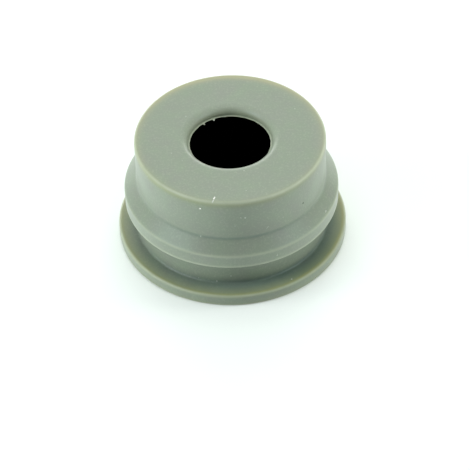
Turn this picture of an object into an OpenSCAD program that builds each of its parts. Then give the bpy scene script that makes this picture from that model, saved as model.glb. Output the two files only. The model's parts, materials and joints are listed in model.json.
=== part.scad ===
// Boiler gasket: a seal moulded in one piece of silicone, round about the Z axis.
// It snaps into the round hole of a boiler wall: the wall sits in the groove between
// the flange and the barb, and a pipe stub enters from below and seals at the lip.
// The origin is the centre of the flange's resting face, with +Z towards the nose.
// All lengths are in millimetres.

/* [Flange] */
// How far the flange stands out past the neck
flange_reach = 2.05; // [1.2:0.05:5]
// Thickness of the flange
flange_t = 1.4; // [0.8:0.1:4]
// Rounding of the flange's outer edges
flange_edge_r = 0.25; // [0.05:0.05:0.35]

/* [Groove and barb] */
// Diameter of the neck, which is the hole in the boiler wall
neck_d = 20.9; // [18:0.1:30]
// Width of the groove, which is the thickness of the boiler wall
groove_w = 3.5; // [1:0.1:8]
// How far the barb stands out past the neck
barb_reach = 1.2; // [0.6:0.05:3]
// Height of the straight band round the barb
barb_band_h = 1.6; // [0.6:0.1:4]
// Height of the sloping shoulder that leads the barb through the hole
shoulder_h = 1.45; // [0.6:0.05:4]
// Rounding of the barb's lower edge, which bears on the wall
barb_edge_r = 0.1; // [0.05:0.01:0.2]
// Rounding of the barb's upper edge, where the shoulder starts
shoulder_edge_r = 0.3; // [0.05:0.05:0.6]
// Fillet in the corners at the bottom of the groove and round the nose
root_r = 0.25; // [0.05:0.05:0.3]

/* [Nose] */
// Diameter of the nose above the shoulder
nose_d = 20.6; // [18.5:0.1:22]
// Height of the straight side of the nose
nose_h = 5.2; // [2:0.1:12]
// Rounding of the nose's outer edge
nose_edge_r = 0.35; // [0.05:0.05:0.8]

/* [Lip and bore] */
// Diameter of the sealing lip
lip_d = 9; // [5:0.1:12]
// Radius of the rounded way into the lip
lip_entry_r = 0.9; // [0.3:0.05:1.5]
// Height of the straight land inside the lip
lip_land_h = 0.1; // [0.05:0.05:0.6]
// Diameter of the bore below the lip, which takes the pipe stub
bore_d = 15; // [13.5:0.1:16.5]
// How far the bore's ceiling falls from the lip to the bore's side
ceiling_drop = 1.8; // [0.6:0.1:4]
// Fillet between the bore's side and its ceiling
ceiling_r = 0.8; // [0.2:0.1:1.2]
// Rounding of the bore's mouth in the resting face
mouth_r = 0.4; // [0.1:0.05:0.8]

/* [Hidden] */

$fn = 96;
silicone_grey = [0.56, 0.62, 0.53];

// How far a rounding's cutter runs past its corner, as a share of the rounding
overrun_share = 0.5;
// How much of a side the space in an inner corner takes
space_share = 0.4;

neck_r = neck_d / 2;
flange_r = neck_r + flange_reach;
barb_r = neck_r + barb_reach;
nose_r = nose_d / 2;
lip_r = lip_d / 2;
bore_r = bore_d / 2;

barb_z = flange_t + groove_w;
shoulder_z = barb_z + barb_band_h;
nose_z = shoulder_z + shoulder_h;
top_z = nose_z + nose_h;
lip_z = top_z - lip_entry_r - lip_land_h;
ceiling_z = lip_z - ceiling_drop;

// The half section, anticlockwise from the bore's mouth: each corner is [radius, height, rounding].
corners = [
    [bore_r, 0, mouth_r],
    [flange_r, 0, flange_edge_r],
    [flange_r, flange_t, flange_edge_r],
    [neck_r, flange_t, root_r],
    [neck_r, barb_z, root_r],
    [barb_r, barb_z, barb_edge_r],
    [barb_r, shoulder_z, shoulder_edge_r],
    [nose_r, nose_z, root_r],
    [nose_r, top_z, nose_edge_r],
    [lip_r, top_z, lip_entry_r],
    [lip_r, lip_z, 0],
    [bore_r, ceiling_z, ceiling_r],
];

function corner(i) = corners[(i + len(corners)) % len(corners)];
function point(i) = [corner(i)[0], corner(i)[1]];
function rounding(i) = corner(i)[2];
function side(i, j) = point(j) - point(i);
function unit(v) = v / norm(v);
function is_inner(i) = cross(side(i - 1, i), side(i, i + 1)) < 0;

// The arc that rounds corner i, measured from the corner: its centre, and its end on the side to corner j.
function half_angle(i) = acos(unit(side(i, i - 1)) * unit(side(i, i + 1))) / 2;
function bisector(i) = unit(unit(side(i, i - 1)) + unit(side(i, i + 1)));
function arc_centre(i) = bisector(i) * rounding(i) / sin(half_angle(i));
function arc_end(i, j) = unit(side(i, j)) * rounding(i) / tan(half_angle(i));

// The sliver between corner i and its arc.
module corner_sliver(i) {
    beyond = -bisector(i) * rounding(i) * overrun_share;
    difference() {
        polygon([beyond, arc_end(i, i + 1), arc_centre(i), arc_end(i, i - 1)]);
        translate(arc_centre(i)) circle(rounding(i));
    }
}

// The open space in inner corner i, clear of the fillet.
module corner_space(i) {
    ahead = side(i, i + 1) * space_share;
    back = side(i, i - 1) * space_share;
    difference() {
        polygon([[0, 0], ahead, ahead + back, back]);
        corner_sliver(i);
    }
}

// The half section: its inner corners start filled straight across and are hollowed to their fillets,
// and its outer corners lose their slivers.
module section() {
    all = [0 : len(corners) - 1];
    filled = [for (i = all) each is_inner(i)
        ? [for (j = [i - 1, i + 1]) point(i) + side(i, j) * space_share]
        : [point(i)]];
    difference() {
        polygon(filled);
        for (i = all) if (is_inner(i)) translate(point(i)) corner_space(i);
        for (i = all) if (!is_inner(i) && rounding(i) > 0) translate(point(i)) corner_sliver(i);
    }
}

module gasket() {
    color(silicone_grey)
        rotate_extrude()
            section();
}

gasket();
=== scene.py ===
"""Boiler gasket: a seal moulded in one piece of silicone, with its dust, on a plain studio stage."""

import json
import math
import random
from collections import namedtuple

import bmesh
import bpy
from bpy.props import FloatProperty, FloatVectorProperty, IntProperty, PointerProperty
from mathutils import Matrix, Vector, noise
from mathutils.bvhtree import BVHTree


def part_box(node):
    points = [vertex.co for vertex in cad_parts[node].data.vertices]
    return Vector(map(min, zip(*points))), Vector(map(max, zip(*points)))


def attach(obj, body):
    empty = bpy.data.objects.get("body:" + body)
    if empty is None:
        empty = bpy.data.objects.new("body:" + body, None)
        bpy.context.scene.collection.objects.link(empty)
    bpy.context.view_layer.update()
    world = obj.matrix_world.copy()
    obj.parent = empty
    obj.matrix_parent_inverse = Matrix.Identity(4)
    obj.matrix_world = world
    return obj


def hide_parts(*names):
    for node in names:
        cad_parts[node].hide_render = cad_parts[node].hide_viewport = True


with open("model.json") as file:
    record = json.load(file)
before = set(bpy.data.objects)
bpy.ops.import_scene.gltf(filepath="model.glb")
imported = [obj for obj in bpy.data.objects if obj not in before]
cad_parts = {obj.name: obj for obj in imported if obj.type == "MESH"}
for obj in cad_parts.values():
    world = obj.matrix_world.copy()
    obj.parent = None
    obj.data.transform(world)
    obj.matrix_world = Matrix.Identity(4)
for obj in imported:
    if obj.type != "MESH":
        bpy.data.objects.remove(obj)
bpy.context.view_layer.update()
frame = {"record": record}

bl_info = {
    "name": "Boiler Gasket",
    "version": (1, 0, 0),
    "blender": (4, 5, 0),
    "location": "3D View > Sidebar > Gasket",
    "description": "Builds a silicone boiler gasket, the dust on it and a plain studio stage",
    "category": "Object",
}

NODE = "gasket"
BODY = "root"

# Lengths are in metres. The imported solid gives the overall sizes, and its mounts the fits.
MM = 0.001
LOW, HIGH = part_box(NODE)
MOUNTS = {mount["name"]: mount for mount in frame["record"]["mounts"]}


def mount_size(name, size):
    """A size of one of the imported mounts, in metres."""
    return MOUNTS[name]["dims"][size] * MM


NECK_RADIUS = mount_size("wall_groove", "r_mm")
GROOVE_WIDTH = mount_size("wall_groove", "length_mm")
GROOVE_MIDDLE = MOUNTS["wall_groove"]["pos_m"][2]
FLANGE_THICKNESS = GROOVE_MIDDLE - GROOVE_WIDTH / 2

# The photograph is a square of this many pixels, counted from the middle of the first one.
FRAME_SIDE = 470
FRAME_MIDDLE = (FRAME_SIDE - 1) / 2

# How many decimals of a metre the panel shows
LENGTH_DECIMALS = 5


def length(name, description, default):
    """A length that a user may change."""
    return FloatProperty(
        name=name, description=description, default=default, unit="LENGTH", precision=LENGTH_DECIMALS
    )


def angle(name, description, degrees):
    """An angle that a user may change."""
    return FloatProperty(
        name=name, description=description, default=math.radians(degrees), subtype="ANGLE"
    )


def share(name, description, default):
    """A share from 0 to 1 that a user may change."""
    return FloatProperty(
        name=name, description=description, default=default, min=0.0, max=1.0, subtype="FACTOR"
    )


def colour(name, description, default):
    """A linear colour that a user may change."""
    return FloatVectorProperty(
        name=name, description=description, default=default, size=3, min=0.0, max=1.0, subtype="COLOR"
    )


def power(name, description, default):
    """A lamp's power that a user may change."""
    return FloatProperty(name=name, description=description, default=default, min=0.0, unit="POWER")


class GasketSizes(bpy.types.PropertyGroup):
    """Sizes of the gasket's half section and of the torn skin at its lip."""

    flange_radius: length("Flange radius", "Radius of the flange", HIGH.x)
    flange_thickness: length("Flange thickness", "Height of the flange's rim", FLANGE_THICKNESS)
    flange_edge: length("Flange edge", "Rounding of the flange's outer edges", 0.25 * MM)
    neck_radius: length("Neck radius", "Radius at the bottom of the groove", NECK_RADIUS)
    groove_width: length("Groove width", "Width of the groove that takes the boiler wall", GROOVE_WIDTH)
    root_fillet: length("Root fillet", "Fillet in the groove's corners", 0.25 * MM)
    barb_reach: length("Barb reach", "How far the barb stands out past the neck", 1.2 * MM)
    barb_band: length("Barb band", "Height of the straight band round the barb", 1.6 * MM)
    barb_edge: length("Barb edge", "Rounding of the barb's lower edge", 0.1 * MM)
    shoulder_height: length("Shoulder height", "Height of the slope above the barb", 1.45 * MM)
    shoulder_edge: length("Shoulder edge", "Rounding where the slope starts", 0.3 * MM)
    nose_fillet: length("Nose fillet", "Fillet round the foot of the nose", 0.6 * MM)
    nose_radius: length("Nose radius", "Radius of the nose", 10.3 * MM)
    nose_edge: length("Nose edge", "Rounding of the nose's outer edge", 0.35 * MM)
    top: length("Top", "Height of the nose's flat face", HIGH.z)
    lip_radius: length("Lip radius", "Radius of the sealing lip", mount_size("lip", "r_mm"))
    lip_entry: length("Lip entry", "Radius of the rounded way into the lip", 0.9 * MM)
    lip_land: length("Lip land", "Height of the straight land in the lip", mount_size("lip", "length_mm"))
    bore_radius: length("Bore radius", "Radius of the bore below the lip", mount_size("stub_bore", "r_mm"))
    ceiling_drop: length("Ceiling drop", "Fall of the bore's ceiling from the lip to the side", 1.8 * MM)
    ceiling_fillet: length("Ceiling fillet", "Fillet between the bore's side and its ceiling", 0.8 * MM)
    mouth_edge: length("Mouth edge", "Rounding of the bore's mouth", 0.4 * MM)
    skin_reach: length("Skin reach", "How far the torn moulding skin reaches into the lip", 0.15 * MM)
    skin_thickness: length("Skin thickness", "Thickness of the torn moulding skin", 0.05 * MM)
    skin_ragged: length("Skin ragged", "How uneven the skin's torn edge is", 0.03 * MM)
    segments: IntProperty(name="Segments", description="Steps round the axis", default=240, min=24)


class GasketFinish(bpy.types.PropertyGroup):
    """Colours and surface of the silicone and of the dust on it."""

    silicone: colour("Silicone", "Main grey-green of the rubber", (0.232, 0.293, 0.210))
    silicone_cloud: colour("Silicone cloud", "Greyer tone that clouds the rubber", (0.234, 0.263, 0.215))
    thin_edge: colour("Thin edge", "Warm tone where thin rubber lets light through", (0.252, 0.277, 0.094))
    lit_edge: colour("Lit edge", "Tan tone of edges lit through from behind", (0.335, 0.345, 0.215))
    # Painted highlight along the edges, also the tone of the grain's pale specks
    worn_edge: colour("Worn edge", "Pale tone of the rubbed edges", (0.422, 0.474, 0.344))
    # Painted shade in the inner corners, under the barb and on the flange
    recess: colour("Recess", "Cool dark tone in the inner corners", (0.104, 0.165, 0.137))
    bore: colour("Bore", "Dark tone inside the bore, where no light comes back", (0.0, 0.0, 0.0))
    dust_pale: colour("Pale dust", "White lint", (0.900, 0.900, 0.860))
    dust_dark: colour("Dark dust", "Dark grit", (0.060, 0.075, 0.060))
    roughness: share("Roughness", "Mean roughness of the satin rubber", 0.325)
    roughness_spread: share("Roughness spread", "How far the roughness wanders", 0.04)


class GasketStage(bpy.types.PropertyGroup):
    """Camera, lamps and floor."""

    lens: FloatProperty(
        name="Lens", description="Focal length on a 36 mm sensor", default=192.57, unit="CAMERA"
    )
    distance: length("Distance", "From the camera to the point that it circles", 278.3 * MM)
    aim_height: length("Aim height", "Height of the point that the camera circles", 0.07 * MM)
    elevation: angle("Elevation", "How steeply the camera looks down", 44.05)
    pan: angle("Pan", "Turn of the camera to the left", -0.0450)
    tilt: angle("Tilt", "Turn of the camera upwards", -0.2444)
    roll: angle("Roll", "Turn of the camera about its view", 1.788)
    floor: colour("Floor", "Pale floor", (0.665, 0.725, 0.68))
    floor_glow: share("Floor glow", "Light that the floor gives off, as a light table does", 0.17)
    sky: share("Sky", "Strength of the even light from all round", 0.065)
    top_lamp: power("Top lamp", "Soft light overhead, without gloss", 1.49)
    back_wall: power("Back wall", "Wide bright wall behind", 1.27)
    left_lamp: power("Left lamp", "Soft lamp in front on the left", 0.515)
    right_lamp: power("Right lamp", "Soft lamp in front on the right", 0.13)
    right_window: power("Right window", "Window on the right that shows only in the gloss", 0.25)
    high_fill: power("High fill", "Fill light high behind, without gloss", 0.766)
    left_fill: power("Left fill", "Low fill light on the left, without gloss", 1.24)
    right_fill: power("Right fill", "Low fill light on the right, without gloss", 1.11)


# Section

Corner = namedtuple("Corner", "name radius height rounding")
Row = namedtuple("Row", "radius height ragged_share")


def section_corners(sizes):
    """The corners of the half section, anticlockwise from the bore's mouth."""
    barb_radius = sizes.neck_radius + sizes.barb_reach
    barb_height = sizes.flange_thickness + sizes.groove_width
    shoulder_foot = barb_height + sizes.barb_band
    nose_foot = shoulder_foot + sizes.shoulder_height
    lip_height = sizes.top - sizes.lip_entry - sizes.lip_land
    return [
        Corner("mouth", sizes.bore_radius, LOW.z, sizes.mouth_edge),
        Corner("flange_foot", sizes.flange_radius, LOW.z, sizes.flange_edge),
        Corner("flange_rim", sizes.flange_radius, sizes.flange_thickness, sizes.flange_edge),
        Corner("groove_floor", sizes.neck_radius, sizes.flange_thickness, sizes.root_fillet),
        Corner("groove_roof", sizes.neck_radius, barb_height, sizes.root_fillet),
        Corner("barb_edge", barb_radius, barb_height, sizes.barb_edge),
        Corner("shoulder_edge", barb_radius, shoulder_foot, sizes.shoulder_edge),
        Corner("nose_root", sizes.nose_radius, nose_foot, sizes.nose_fillet),
        Corner("nose_edge", sizes.nose_radius, sizes.top, sizes.nose_edge),
        Corner("lip_entry", sizes.lip_radius, sizes.top, sizes.lip_entry),
        Corner("lip_foot", sizes.lip_radius, lip_height, 0.0),
        Corner("ceiling", sizes.bore_radius, lip_height - sizes.ceiling_drop, sizes.ceiling_fillet),
    ]


def corner_point(corner):
    """A corner's place in the plane of the section."""
    return Vector((corner.radius, corner.height))


ARC_STEPS = 8


def rounded_corner(before, corner, after):
    """The points that round a corner, or the corner itself where it is sharp."""
    place = corner_point(corner)
    if not corner.rounding:
        return [place]
    back = (corner_point(before) - place).normalized()
    ahead = (corner_point(after) - place).normalized()
    half = back.angle(ahead) / 2
    centre = place + (back + ahead).normalized() * corner.rounding / math.sin(half)
    start = place + back * corner.rounding / math.tan(half) - centre
    end = place + ahead * corner.rounding / math.tan(half) - centre
    steps = range(ARC_STEPS + 1)
    return [centre + start.slerp(end, step / ARC_STEPS) * corner.rounding for step in steps]


FIRST_STEP = 0.06 * MM
STEP_GROWTH = 1.6
LONGEST_STEP = 0.6 * MM


def graded_side(start, end):
    """Points inside a straight side, close together near its ends, where the tones change."""
    span = (end - start).length
    places = []
    step = FIRST_STEP
    place = step
    while place + step < span / 2:
        places.append(place)
        step = min(step * STEP_GROWTH, LONGEST_STEP)
        place += step
    mirrored = [span - place for place in reversed(places)]
    return [start.lerp(end, place / span) for place in places + mirrored]


def torn_skin(sizes, lip_height):
    """The rows of the thin torn skin at the lip's foot: top, torn edge and underside."""
    upper = lip_height + sizes.skin_thickness
    third = sizes.skin_thickness / 3
    return [
        Row(sizes.lip_radius, upper, 0.0),
        Row(sizes.lip_radius, upper - third / 2, 0.5),
        Row(sizes.lip_radius, upper - third, 1.0),
        Row(sizes.lip_radius, lip_height + third, 1.0),
    ]


def section_rows(sizes):
    """The rows of the lathed mesh, in order round the section."""
    corners = section_corners(sizes)
    rounded = []
    for i, corner in enumerate(corners):
        rounded.append(rounded_corner(corners[i - 1], corner, corners[(i + 1) % len(corners)]))
    rows = []
    for i, corner in enumerate(corners):
        if corner.name == "lip_foot":
            rows += torn_skin(sizes, corner.height)
        rows += [Row(point.x, point.y, 0.0) for point in rounded[i]]
        following = rounded[(i + 1) % len(corners)][0]
        rows += [Row(point.x, point.y, 0.0) for point in graded_side(rounded[i][-1], following)]
    return rows


def turns(sizes):
    """The angles of the steps round the axis."""
    return [math.tau * i / sizes.segments for i in range(sizes.segments)]


# Torn skin

# About how many bumps the torn edge has to a radian
SKIN_WAVES = 9.0
# Tags of skin that reach further into the hole, by their angle round the axis
Tag = namedtuple("Tag", "degrees reach half_width")
TAGS = (
    Tag(113.4, 0.32 * MM, 0.10 * MM),
    Tag(130.5, 0.30 * MM, 0.09 * MM),
    Tag(95.7, 0.08 * MM, 0.06 * MM),
)


def skin_reach(sizes, turn):
    """How far the torn skin reaches inwards at this angle round the axis."""
    way = Vector((math.cos(turn), math.sin(turn)))
    rag = noise.noise((way * SKIN_WAVES).to_3d())
    reach = sizes.skin_reach + rag * sizes.skin_ragged
    for tag in TAGS:
        apart = math.remainder(turn - math.radians(tag.degrees), math.tau) * sizes.lip_radius
        reach += tag.reach * math.exp(-(apart / tag.half_width) ** 2)
    return reach


# Tones

# How strongly each rounded corner shows a tone, how far the tone spreads back and ahead along the
# section, how steeply it grows towards +X and +Y, and how far ahead of the corner it is strongest.
# The recess tones are painted shade and the pale edge tones painted highlights; their lean paints one
# side lighter or darker where the light falls.
EVEN = Vector((0.0, 0.0))
Tone = namedtuple("Tone", "strength_share back_spread ahead_spread lean lead", defaults=[EVEN, 0.0])
TONES = {
    "thin_edge": {
        "flange_rim": Tone(0.78, 0.28 * MM, 0.30 * MM, Vector((0.2, -0.1)), 0.24 * MM),
        "flange_foot": Tone(0.5, 0.20 * MM, 0.30 * MM),
        "nose_edge": Tone(0.50, 0.45 * MM, 0.25 * MM, Vector((-0.3, 0.0)), -0.20 * MM),
        "lip_entry": Tone(0.14, 0.25 * MM, 0.35 * MM, Vector((0.0, 1.0)), 0.45 * MM),
    },
    "lit_edge": {
        "flange_rim": Tone(0.52, 0.15 * MM, 0.60 * MM, Vector((0.0, 1.9))),
        "nose_edge": Tone(0.55, 0.30 * MM, 0.60 * MM, Vector((0.0, 1.5))),
    },
    # Painted highlights on the edges, some leaning towards the sides where the light falls
    "worn_edge": {
        "flange_rim": Tone(0.70, 0.18 * MM, 0.15 * MM, Vector((-0.1, 0.1)), 0.04 * MM),
        "flange_foot": Tone(0.7, 0.20 * MM, 0.20 * MM),
        "nose_edge": Tone(0.80, 0.22 * MM, 0.16 * MM, Vector((0.25, -0.2)), -0.02 * MM),
        "barb_edge": Tone(1.0, 0.20 * MM, 0.22 * MM),
        "shoulder_edge": Tone(0.43, 0.14 * MM, 0.17 * MM, Vector((0.1, -0.3))),
        "lip_entry": Tone(0.115, 0.55 * MM, 0.45 * MM, Vector((0.0, 1.3)), 0.30 * MM),
        "lip_foot": Tone(0.5, 0.10 * MM, 0.10 * MM),
    },
    # Painted shade in the corners, under the barb and over the flange, deepest on the front and the right
    "recess": {
        "flange_rim": Tone(0.0085, 0.50 * MM, 0.80 * MM, Vector((3.83, -3.21)), 0.60 * MM),
        "groove_floor": Tone(0.215, 3.50 * MM, 0.40 * MM, Vector((0.75, -1.08))),
        "groove_roof": Tone(0.12, 1.60 * MM, 0.30 * MM, Vector((0.0, -0.6))),
        "nose_root": Tone(0.036, 0.15 * MM, 0.15 * MM, Vector((0.0, -2.8))),
    },
}
# How far a tone reaches, at most, across from the two sides that meet at its corner
WIDEST_ACROSS = 0.5 * MM
# How soon the bore darkens above its mouth and behind the lip's edge
MOUTH_FADE = 0.5 * MM
LIP_FADE = 0.25 * MM
# How far below the torn skin the bore starts, as a share of the skin's thickness
SKIN_MARGIN_SHARE = 0.1
# The place of the bore's material among the mesh's materials
BORE_SLOT = 1


def corner_tones(tone, corners, point):
    """What each corner adds of a tone at a point of the section: its strength, and its lean."""
    found = []
    for i, corner in enumerate(corners):
        look = TONES[tone].get(corner.name)
        if look:
            before = corners[i - 1]
            after = corners[(i + 1) % len(corners)]
            arc = rounded_corner(before, corner, after)
            to_back = (corner_point(before) - corner_point(corner)).normalized()
            to_ahead = (corner_point(after) - corner_point(corner)).normalized()
            lead_side = to_ahead if look.lead > 0 else to_back
            strongest = arc[len(arc) // 2] + lead_side * abs(look.lead)
            away = point - strongest
            is_ahead = away.dot(to_ahead - to_back) > 0
            side = to_ahead if is_ahead else to_back
            spread = look.ahead_spread if is_ahead else look.back_spread
            along = away.dot(side)
            across = (away - side * along).length
            near = math.hypot(along / spread, across / min(spread, WIDEST_ACROSS))
            found.append((look.strength_share * math.exp(-near * near), look.lean))
    return found


def bore_shade(sizes, corners, point):
    """How dark a point is made by the bore, from 0 outside to 1 inside."""
    foot = next(corner for corner in corners if corner.name == "lip_foot")
    ceiling = next(corner for corner in corners if corner.name == "ceiling")
    below_lip = point.y < foot.height - sizes.skin_thickness * SKIN_MARGIN_SHARE
    if not below_lip or point.x > sizes.bore_radius + sizes.mouth_edge:
        return 0.0
    slope = (corner_point(ceiling) - corner_point(foot)).normalized()
    from_lip = (point - corner_point(foot)).dot(slope)
    inside = min(from_lip / LIP_FADE, (point.y - LOW.z) / MOUTH_FADE, 1.0)
    return max(inside, 0.0)


def set_tones(mesh, sizes, rows):
    """Writes the tones and the bore's darkness to the mesh, and gives the bore its material."""
    corners = section_corners(sizes)
    points = [Vector((row.radius, row.height)) for row in rows]
    ways = [Vector((math.cos(turn), math.sin(turn))) for turn in turns(sizes)]
    strengths = {}
    for tone in TONES:
        strengths[tone] = []
        for point in points:
            looks = corner_tones(tone, corners, point)
            for way in ways:
                shown = [strength * math.exp(lean.dot(way)) for strength, lean in looks]
                strengths[tone].append(max(shown))
    shades = [bore_shade(sizes, corners, point) for point in points]
    strengths["bore"] = [shade for shade in shades for _ in ways]
    for tone, values in strengths.items():
        mesh.attributes.new(tone, "FLOAT", "POINT").data.foreach_set("value", values)
    for face in mesh.polygons:
        if all(strengths["bore"][corner] == 1.0 for corner in face.vertices):
            face.material_index = BORE_SLOT


# Meshes

SHARP_ANGLE = math.radians(50)


def lathed_mesh(name, sizes, rows):
    """A closed mesh that turns the rows about the Z axis."""
    ways = [Vector((math.cos(turn), math.sin(turn), 0.0)) for turn in turns(sizes)]
    reaches = [skin_reach(sizes, turn) for turn in turns(sizes)]
    points = []
    for row in rows:
        for way, reach in zip(ways, reaches):
            point = way * (row.radius - row.ragged_share * reach)
            point.z = row.height
            points.append(point)
    faces = []
    for i in range(len(rows)):
        here = i * sizes.segments
        after = (i + 1) % len(rows) * sizes.segments
        for k in range(sizes.segments):
            beside = (k + 1) % sizes.segments
            faces.append((here + k, here + beside, after + beside, after + k))
    mesh = bpy.data.meshes.new(name)
    mesh.from_pydata(points, [], faces)
    mesh.validate()
    mesh.shade_smooth()
    mesh.set_sharp_from_angle(angle=SHARP_ANGLE)
    return mesh


def new_object(name, mesh, material):
    """A mesh object in the scene, with its material."""
    piece = bpy.data.objects.new(name, mesh)
    mesh.materials.append(material)
    bpy.context.scene.collection.objects.link(piece)
    return piece


# Materials


def new_node(tree, kind, inputs=None, **settings):
    """A node with its settings. An input is a value or the socket that feeds it."""
    node = tree.nodes.new(kind)
    for name, value in settings.items():
        setattr(node, name, value)
    for name, value in (inputs or {}).items():
        if isinstance(value, bpy.types.NodeSocket):
            tree.links.new(value, node.inputs[name])
        else:
            node.inputs[name].default_value = value
    return node


# The sockets of a Mix node that hold colours
MIX_A = 6
MIX_B = 7
MIX_RESULT = 2


def mixed(tree, factor, below, above):
    """The colour below, covered by the colour above as far as the factor says."""
    inputs = {"Factor": factor, MIX_A: below, MIX_B: above}
    return new_node(tree, "ShaderNodeMix", inputs, data_type="RGBA").outputs[MIX_RESULT]


def math_node(tree, operation, first, second):
    """The result of a product or a comparison."""
    node = new_node(tree, "ShaderNodeMath", {0: first, 1: second}, operation=operation)
    return node.outputs[0]


def ranged(tree, value, low, high, to_low, to_high):
    """A value moved from one range to another, and kept within it."""
    inputs = {"Value": value, "From Min": low, "From Max": high, "To Min": to_low, "To Max": to_high}
    return new_node(tree, "ShaderNodeMapRange", inputs).outputs[0]


def noise_node(tree, place, feature, detail):
    """Noise whose features are about this long."""
    inputs = {"Vector": place, "Scale": 1 / feature, "Detail": detail}
    return new_node(tree, "ShaderNodeTexNoise", inputs).outputs[0]


def attribute_node(tree, name):
    """The strength of a tone, as the mesh holds it."""
    return new_node(tree, "ShaderNodeAttribute", attribute_name=name).outputs["Fac"]


def opaque(rgb):
    """A colour with full alpha, as a node takes it."""
    return (*rgb, 1.0)


def new_material(name):
    """An empty material, its node tree and its shader."""
    material = bpy.data.materials.new(name)
    material.use_nodes = True
    tree = material.node_tree
    tree.nodes.clear()
    shader = new_node(tree, "ShaderNodeBsdfPrincipled")
    new_node(tree, "ShaderNodeOutputMaterial", {"Surface": shader.outputs[0]})
    return material, tree, shader


# Values of a noise between which nearly all of it lies, and its middle
NOISE_LOW = 0.2
NOISE_MIDDLE = 0.5
NOISE_HIGH = 0.8
COARSE_DETAIL = 3.0
FINE_DETAIL = 2.0
CLOUD_FEATURE = 2.2 * MM
BREAK_FEATURE = 1.1 * MM
# What is left of a tone where it breaks up most
BREAK_SHARE = 0.7
GRAIN_FEATURE = 0.22 * MM
GRAIN_HEIGHT = 0.012 * MM
GRAIN_SHARE = 0.25
GRAIN_STRENGTH_SHARE = 0.5
SILICONE_IOR = 1.55
# Fine dust: one cell in a few holds a mote
MOTE_CELL = 1.3 * MM
MOTE_RADIUS_SHARE = 0.05
MOTE_CORE_SHARE = MOTE_RADIUS_SHARE / 2
MOTE_CELLS_SHARE = 0.25
MOTE_COVER_SHARE = 0.35


def mote_cover(tree, place):
    """How much a fine mote of dust covers the rubber here."""
    cells = new_node(tree, "ShaderNodeTexVoronoi", {"Vector": place, "Scale": 1 / MOTE_CELL})
    draw = new_node(tree, "ShaderNodeSeparateColor", {"Color": cells.outputs["Color"]}).outputs[0]
    chosen = math_node(tree, "LESS_THAN", draw, MOTE_CELLS_SHARE)
    near = ranged(tree, cells.outputs["Distance"], MOTE_CORE_SHARE, MOTE_RADIUS_SHARE, 1.0, 0.0)
    return math_node(tree, "MULTIPLY", math_node(tree, "MULTIPLY", chosen, near), MOTE_COVER_SHARE)


def silicone_material(finish):
    """Satin grey-green rubber: clouded, finely grained, warm at thin edges, with painted shade in its
    corners and painted highlights on its edges.
    """
    material, tree, shader = new_material("silicone")
    place = new_node(tree, "ShaderNodeTexCoord").outputs["Object"]
    cloud = noise_node(tree, place, CLOUD_FEATURE, COARSE_DETAIL)
    patches = noise_node(tree, place, BREAK_FEATURE, FINE_DETAIL)
    breaks = ranged(tree, patches, NOISE_LOW, NOISE_HIGH, BREAK_SHARE, 1.0)
    grain = noise_node(tree, place, GRAIN_FEATURE, FINE_DETAIL)

    clouded = ranged(tree, cloud, NOISE_LOW, NOISE_HIGH, 0.0, 1.0)
    tint = mixed(tree, clouded, opaque(finish.silicone), opaque(finish.silicone_cloud))
    grained = ranged(tree, grain, NOISE_MIDDLE, NOISE_HIGH, 0.0, GRAIN_SHARE)
    # The grain's pale specks take the tone of the painted edge highlight
    tint = mixed(tree, grained, tint, opaque(finish.worn_edge))
    # Painted shade in the corners, warm and tan tones where light shines through the edges, then painted
    # edge highlights
    for tone in ("recess", "thin_edge", "lit_edge", "worn_edge"):
        cover = math_node(tree, "MULTIPLY", attribute_node(tree, tone), breaks)
        tint = mixed(tree, cover, tint, opaque(getattr(finish, tone)))
    tint = mixed(tree, mote_cover(tree, place), tint, opaque(finish.dust_pale))
    tint = mixed(tree, attribute_node(tree, "bore"), tint, opaque(finish.bore))
    tree.links.new(tint, shader.inputs["Base Color"])

    smoothest = finish.roughness - finish.roughness_spread
    roughest = finish.roughness + finish.roughness_spread
    roughness = ranged(tree, cloud, NOISE_LOW, NOISE_HIGH, smoothest, roughest)
    tree.links.new(roughness, shader.inputs["Roughness"])
    shader.inputs["IOR"].default_value = SILICONE_IOR
    relief = {"Strength": GRAIN_STRENGTH_SHARE, "Distance": GRAIN_HEIGHT, "Height": grain}
    bump = new_node(tree, "ShaderNodeBump", relief)
    tree.links.new(bump.outputs[0], shader.inputs["Normal"])
    return material


def bore_material(finish):
    """The inside of the bore, which stays dark."""
    material, _, shader = new_material("bore")
    shader.inputs["Base Color"].default_value = opaque(finish.bore)
    shader.inputs["Roughness"].default_value = 1.0
    shader.inputs["Specular IOR Level"].default_value = 0.0
    return material


DUST_ROUGHNESS = 0.9


def dust_material(finish):
    """Lint and grit: each fleck's tone runs from dark through the rubber's own colour to white."""
    material, tree, shader = new_material("dust")
    tone = attribute_node(tree, "dust_tone")
    paleness = ranged(tree, tone, 0.0, 1.0, 0.0, 1.0)
    tint = mixed(tree, paleness, opaque(finish.silicone), opaque(finish.dust_pale))
    darkness = ranged(tree, tone, 0.0, -1.0, 0.0, 1.0)
    tint = mixed(tree, darkness, tint, opaque(finish.dust_dark))
    tree.links.new(tint, shader.inputs["Base Color"])
    shader.inputs["Roughness"].default_value = DUST_ROUGHNESS
    return material


# View


def camera_matrix(stage):
    """The camera's place and turn: it looks at the axis from the front, then pans, tilts and rolls."""
    right = Vector((1.0, 0.0, 0.0))
    back = Vector((0.0, -math.cos(stage.elevation), math.sin(stage.elevation)))
    facing = Matrix((right, back.cross(right), back)).transposed().to_4x4()
    turn = Matrix.Rotation(stage.pan, 4, "Y") @ Matrix.Rotation(stage.tilt, 4, "X")
    turn = turn @ Matrix.Rotation(-stage.roll, 4, "Z")
    place = back * stage.distance + Vector((0.0, 0.0, stage.aim_height))
    return Matrix.Translation(place) @ facing @ turn


# Width of the camera's sensor, in millimetres as the lens is
SENSOR = 36.0


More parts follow.
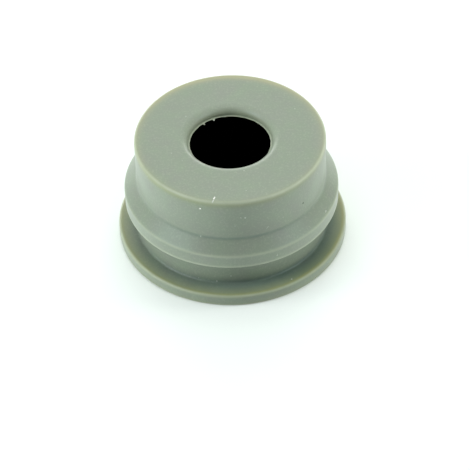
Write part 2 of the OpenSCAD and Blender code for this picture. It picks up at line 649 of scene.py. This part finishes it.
def pixel_on(surface, stage, pixel):
    """Where the camera's ray through a pixel meets the surface, with the normal there."""
    camera = camera_matrix(stage)
    focal = stage.lens / SENSOR * FRAME_SIDE
    across = (pixel[0] - FRAME_MIDDLE) / focal
    down = (pixel[1] - FRAME_MIDDLE) / focal
    ray = camera.to_3x3() @ Vector((across, -down, -1.0))
    place, normal, _, _ = surface.ray_cast(camera.translation, ray)
    if place is None:
        raise RuntimeError(f"no surface under pixel {pixel}")
    return place, normal


# Dust

# Flecks of lint and grit, placed by their pixel in the photograph. Tone is 1 for white, -1 for dark.
Fleck = namedtuple("Fleck", "pixel length width degrees tone")
FLECKS = (
    Fleck((213.7, 197.6), 0.58 * MM, 0.20 * MM, 70, 0.80),
    Fleck((212.4, 200.8), 0.40 * MM, 0.17 * MM, 62, 0.45),
    Fleck((199.6, 208.2), 0.27 * MM, 0.22 * MM, 0, 1.0),
    Fleck((240.3, 217.4), 0.20 * MM, 0.15 * MM, 60, 0.35),
    Fleck((244.7, 217.4), 0.28 * MM, 0.20 * MM, 0, 0.45),
    Fleck((213.4, 119.9), 0.20 * MM, 0.16 * MM, 0, 0.30),
    Fleck((203.7, 124.7), 0.16 * MM, 0.12 * MM, 30, 0.15),
    Fleck((302.6, 202.6), 0.36 * MM, 0.22 * MM, 80, -0.9),
    Fleck((185.3, 116.0), 0.34 * MM, 0.20 * MM, 90, 0.20),
    Fleck((171.0, 152.7), 0.18 * MM, 0.14 * MM, 20, 0.25),
    Fleck((181.7, 160.3), 0.14 * MM, 0.12 * MM, 0, 0.25),
    Fleck((294.4, 108.3), 0.16 * MM, 0.14 * MM, 0, 0.35),
    Fleck((200.3, 235.8), 0.34 * MM, 0.15 * MM, 85, 0.25),
    Fleck((276.8, 254.6), 0.26 * MM, 0.20 * MM, 60, 0.28),
    Fleck((291.2, 278.6), 0.22 * MM, 0.18 * MM, 30, 0.45),
    Fleck((216.4, 280.5), 0.26 * MM, 0.16 * MM, 90, 0.45),
    Fleck((230.4, 275.5), 0.22 * MM, 0.16 * MM, 60, 0.35),
    Fleck((325.3, 210.8), 0.45 * MM, 0.14 * MM, 75, 0.45),
    Fleck((266.8, 227.1), 0.56 * MM, 0.15 * MM, 56, 0.22),
)
FLECK_HEIGHT_SHARE = 0.3
FLECK_SUNK_SHARE = 0.4
FLECK_RAGGED_SHARE = 0.25
FLECK_SUBDIVISIONS = 2
DUST_SEED = 11


def add_fleck(flecks, tone_layer, fleck, place, normal, right, draw):
    """Adds a small ragged fleck that lies on the surface."""
    along = (right - normal * right.dot(normal)).normalized()
    along = Matrix.Rotation(math.radians(fleck.degrees), 3, normal) @ along
    lying = Matrix((along, normal.cross(along), normal)).transposed().to_4x4()
    height = fleck.width * FLECK_HEIGHT_SHARE
    size = Matrix.Diagonal((fleck.length / 2, fleck.width / 2, height, 1.0))
    sunk = Matrix.Translation(place - normal * height * FLECK_SUNK_SHARE)
    made = bmesh.ops.create_icosphere(flecks, subdivisions=FLECK_SUBDIVISIONS, radius=1.0)
    for vertex in made["verts"]:
        vertex.co *= 1.0 - FLECK_RAGGED_SHARE * draw.random()
        vertex.co = sunk @ lying @ size @ vertex.co
        vertex[tone_layer] = fleck.tone


# Stage

# A lamp without gloss lights the rubber but isn't mirrored in it. One without diffuse is only mirrored.
Lamp = namedtuple("Lamp", "name place width height has_gloss tint has_diffuse", defaults=[True])
WHITE = (1.0, 1.0, 1.0)
COOL = (0.86, 1.0, 1.16)
LAMPS = (
    Lamp("top_lamp", Vector((0.0, 0.0, 0.42)), 0.40, 0.40, False, WHITE),
    Lamp("back_wall", Vector((0.0, 0.55, 0.13)), 0.60, 0.25, True, WHITE),
    Lamp("left_lamp", Vector((-0.38, -0.18, 0.27)), 0.30, 0.30, True, COOL),
    Lamp("right_lamp", Vector((0.38, -0.18, 0.27)), 0.30, 0.30, True, COOL),
    Lamp("right_window", Vector((0.40, -0.19, 0.285)), 0.30, 0.30, True, COOL, False),
    Lamp("high_fill", Vector((0.0, 0.30, 0.34)), 0.36, 0.36, False, WHITE),
    Lamp("left_fill", Vector((-0.42, -0.035, 0.078)), 0.13, 0.13, False, WHITE),
    Lamp("right_fill", Vector((0.42, 0.035, 0.085)), 0.13, 0.13, False, WHITE),
)
FLOOR_SIDE = 3.0
FLOOR_GAP = 0.005 * MM
FLOOR_CLOUD_FEATURE = 60.0 * MM
FLOOR_CLOUD_GAIN = 1.02
FLOOR_ROUGHNESS = 0.8
FLOOR_GLOSS_SHARE = 0.1


def floor_material(stage):
    """A plain pale floor with a faint unevenness."""
    material, tree, shader = new_material("floor")
    place = new_node(tree, "ShaderNodeTexCoord").outputs["Object"]
    cloud = noise_node(tree, place, FLOOR_CLOUD_FEATURE, FINE_DETAIL)
    pale = opaque(stage.floor)
    paler = opaque([min(1.0, part * FLOOR_CLOUD_GAIN) for part in stage.floor])
    tree.links.new(mixed(tree, cloud, pale, paler), shader.inputs["Base Color"])
    shader.inputs["Emission Color"].default_value = opaque(WHITE)
    shader.inputs["Emission Strength"].default_value = stage.floor_glow
    shader.inputs["Roughness"].default_value = FLOOR_ROUGHNESS
    shader.inputs["Specular IOR Level"].default_value = FLOOR_GLOSS_SHARE
    return material


def add_floor(stage):
    """The floor that the gasket stands on."""
    half = FLOOR_SIDE / 2
    mesh = bpy.data.meshes.new("floor")
    corners = [(-half, -half, 0.0), (half, -half, 0.0), (half, half, 0.0), (-half, half, 0.0)]
    mesh.from_pydata(corners, [], [(0, 1, 2, 3)])
    floor = new_object("floor", mesh, floor_material(stage))
    floor.location.z = LOW.z - FLOOR_GAP


def add_lamp(lamp, watts):
    """A soft lamp that faces the gasket."""
    data = bpy.data.lights.new(lamp.name, "AREA")
    data.shape = "RECTANGLE"
    data.size = lamp.width
    data.size_y = lamp.height
    data.energy = watts
    data.color = lamp.tint
    lit = bpy.data.objects.new(lamp.name, data)
    lit.visible_glossy = lamp.has_gloss
    lit.visible_diffuse = lamp.has_diffuse
    lit.location = lamp.place
    lit.rotation_euler = lamp.place.to_track_quat("Z", "Y").to_euler()
    bpy.context.scene.collection.objects.link(lit)


# How many times nearer and further than the gasket the camera sees
CLIP_RATIO = 100


def add_camera(stage):
    """The camera, at the photograph's angle."""
    data = bpy.data.cameras.new("camera")
    data.lens = stage.lens
    data.sensor_width = SENSOR
    data.clip_start = stage.distance / CLIP_RATIO
    data.clip_end = stage.distance * CLIP_RATIO
    camera = bpy.data.objects.new("camera", data)
    camera.matrix_world = camera_matrix(stage)
    bpy.context.scene.collection.objects.link(camera)
    bpy.context.scene.camera = camera


# Operators


class GASKET_OT_body(bpy.types.Operator):
    """Build the gasket: the lathed section with its torn lip skin, in satin silicone"""

    bl_idname = "gasket.body"
    bl_label = "Build Gasket"

    def execute(self, context):
        sizes = context.scene.gasket_sizes
        rows = section_rows(sizes)
        mesh = lathed_mesh("gasket_body", sizes, rows)
        if len(mesh.polygons) != len(rows) * sizes.segments:
            raise RuntimeError("the lathed section lost faces")
        set_tones(mesh, sizes, rows)
        finish = context.scene.gasket_finish
        body = new_object("gasket_body", mesh, silicone_material(finish))
        mesh.materials.append(bore_material(finish))
        weighted = body.modifiers.new("Even shading", "WEIGHTED_NORMAL")
        weighted.keep_sharp = True
        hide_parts(NODE)
        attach(body, BODY)
        return {"FINISHED"}


class GASKET_OT_dust(bpy.types.Operator):
    """Scatter the flecks of lint and grit over the gasket"""

    bl_idname = "gasket.dust"
    bl_label = "Scatter Dust"

    def execute(self, context):
        body = bpy.data.objects.get("gasket_body")
        if body is None:
            raise RuntimeError("build the gasket before its dust")
        stage = context.scene.gasket_stage
        surface = BVHTree.FromObject(body, context.evaluated_depsgraph_get())
        right = camera_matrix(stage).to_3x3().col[0]
        draw = random.Random(DUST_SEED)
        flecks = bmesh.new()
        tone_layer = flecks.verts.layers.float.new("dust_tone")
        for fleck in FLECKS:
            place, normal = pixel_on(surface, stage, fleck.pixel)
            add_fleck(flecks, tone_layer, fleck, place, normal, right, draw)
        mesh = bpy.data.meshes.new("dust_flecks")
        flecks.to_mesh(mesh)
        flecks.free()
        mesh.shade_smooth()
        dust = new_object("dust_flecks", mesh, dust_material(context.scene.gasket_finish))
        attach(dust, BODY)
        return {"FINISHED"}


class GASKET_OT_stage(bpy.types.Operator):
    """Set up the floor, the lamps, the even light and the camera"""

    bl_idname = "gasket.stage"
    bl_label = "Set Up Stage"

    def execute(self, context):
        stage = context.scene.gasket_stage
        add_floor(stage)
        for lamp in LAMPS:
            add_lamp(lamp, getattr(stage, lamp.name))
        world = bpy.data.worlds.new("studio")
        world.use_nodes = True
        sky = world.node_tree.nodes["Background"]
        sky.inputs["Color"].default_value = opaque(WHITE)
        sky.inputs["Strength"].default_value = stage.sky
        context.scene.world = world
        add_camera(stage)
        context.scene.view_settings.view_transform = "Standard"
        return {"FINISHED"}


class GASKET_PT_panel(bpy.types.Panel):
    """The gasket's steps and settings in the sidebar"""

    bl_label = "Boiler Gasket"
    bl_idname = "GASKET_PT_panel"
    bl_space_type = "VIEW_3D"
    bl_region_type = "UI"
    bl_category = "Gasket"

    def draw(self, context):
        for step in (GASKET_OT_body, GASKET_OT_dust, GASKET_OT_stage):
            self.layout.operator(step.bl_idname)
        for settings in ("gasket_sizes", "gasket_finish", "gasket_stage"):
            group = getattr(context.scene, settings)
            column = self.layout.column(align=True)
            for name in group.__annotations__:
                column.prop(group, name)


GROUPS = {"gasket_sizes": GasketSizes, "gasket_finish": GasketFinish, "gasket_stage": GasketStage}
CLASSES = (*GROUPS.values(), GASKET_OT_body, GASKET_OT_dust, GASKET_OT_stage, GASKET_PT_panel)


def register():
    for entry in CLASSES:
        bpy.utils.register_class(entry)
    for name, group in GROUPS.items():
        setattr(bpy.types.Scene, name, PointerProperty(type=group))


def unregister():
    for name in GROUPS:
        delattr(bpy.types.Scene, name)
    for entry in reversed(CLASSES):
        bpy.utils.unregister_class(entry)


def main():
    """Builds the gasket, its dust and the stage."""
    register()
    bpy.ops.gasket.body()
    bpy.ops.gasket.dust()
    bpy.ops.gasket.stage()


if __name__ == "__main__":
    main()
